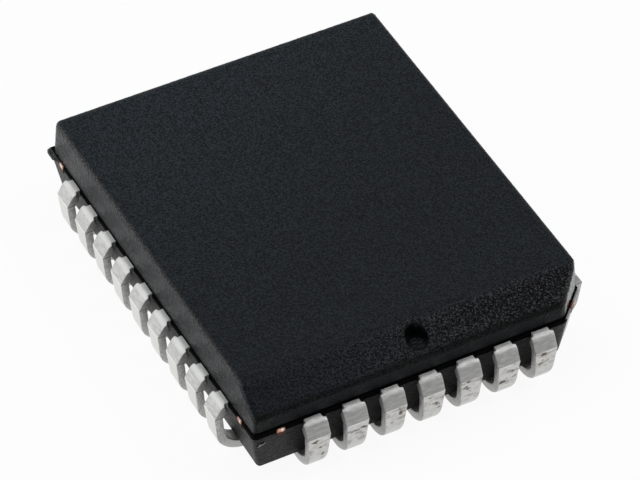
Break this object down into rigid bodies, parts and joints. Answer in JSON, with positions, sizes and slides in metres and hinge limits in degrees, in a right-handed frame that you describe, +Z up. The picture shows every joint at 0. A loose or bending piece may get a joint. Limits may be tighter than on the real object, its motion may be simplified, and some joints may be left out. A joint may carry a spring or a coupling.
{
  "type": "plastic leaded chip carrier",
  "caption": "Rectangular black moulded chip carrier with tinned J-leads folded under all four sides, a cut corner and a bevelled end with a round mark; for sockets or surface mounting.",
  "frame": {"origin": "middle of the lead outline, on the seating plane under the curled leads", "axes": "+Z up through the top face, -Y towards the short side with the bevel, +X towards the cut corner's side"},
  "size_m": [0.0124, 0.015, 0.0034],
  "materials": {
    "moulding": "spark-eroded grain, smooth at the parting line",
    "copper": "cut copper alloy",
    "die_attach": "silver-filled epoxy",
    "silicon": "polished silicon",
    "gold": "drawn gold wire",
    "tinned_lead": "matt tin plating"
  },
  "bodies": {
    "root": {"moulded_body": "moulding", "die_paddle": "copper", "die_attach": "die_attach", "silicon_die": "silicon", "bond_wires": "gold", "lead_01": "tinned_lead", "lead_02": "tinned_lead", "lead_03": "tinned_lead", "lead_04": "tinned_lead", "lead_05": "tinned_lead", "lead_06": "tinned_lead", "lead_07": "tinned_lead", "lead_08": "tinned_lead", "lead_09": "tinned_lead", "lead_10": "tinned_lead", "lead_11": "tinned_lead", "lead_12": "tinned_lead", "lead_13": "tinned_lead", "lead_14": "tinned_lead", "lead_15": "tinned_lead", "lead_16": "tinned_lead", "lead_17": "tinned_lead", "lead_18": "tinned_lead", "lead_19": "tinned_lead", "lead_20": "tinned_lead", "lead_21": "tinned_lead", "lead_22": "tinned_lead", "lead_23": "tinned_lead", "lead_24": "tinned_lead", "lead_25": "tinned_lead", "lead_26": "tinned_lead", "lead_27": "tinned_lead", "lead_28": "tinned_lead", "lead_29": "tinned_lead", "lead_30": "tinned_lead", "lead_31": "tinned_lead", "lead_32": "tinned_lead"}
  },
  "joints": []
}
